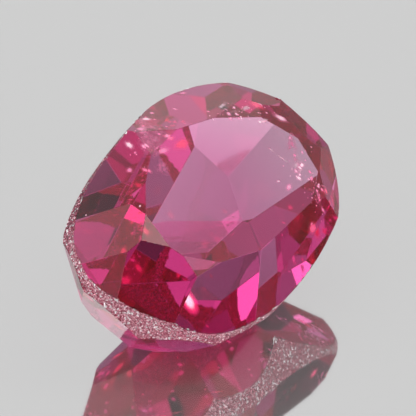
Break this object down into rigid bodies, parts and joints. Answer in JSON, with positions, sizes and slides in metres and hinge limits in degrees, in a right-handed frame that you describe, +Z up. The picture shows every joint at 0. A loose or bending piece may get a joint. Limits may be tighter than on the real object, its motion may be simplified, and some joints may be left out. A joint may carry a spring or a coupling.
{
  "type": "faceted ruby gemstone",
  "caption": "Loose faceted ruby, an uneven oval cut with a ground girdle, lying on a facet of its pavilion.",
  "frame": {"origin": "middle of the stone's footprint box, on the surface that it lies on", "axes": "+Z up, with the stone at rest on a pavilion facet; its table leans towards +X and -Y; -Y towards the viewer"},
  "size_m": [0.0046, 0.0052, 0.0034],
  "materials": {
    "ruby": "clear purplish-red corundum with polished facets and a ground, frosted girdle"
  },
  "bodies": {
    "root": {"ruby": "ruby"}
  },
  "joints": []
}
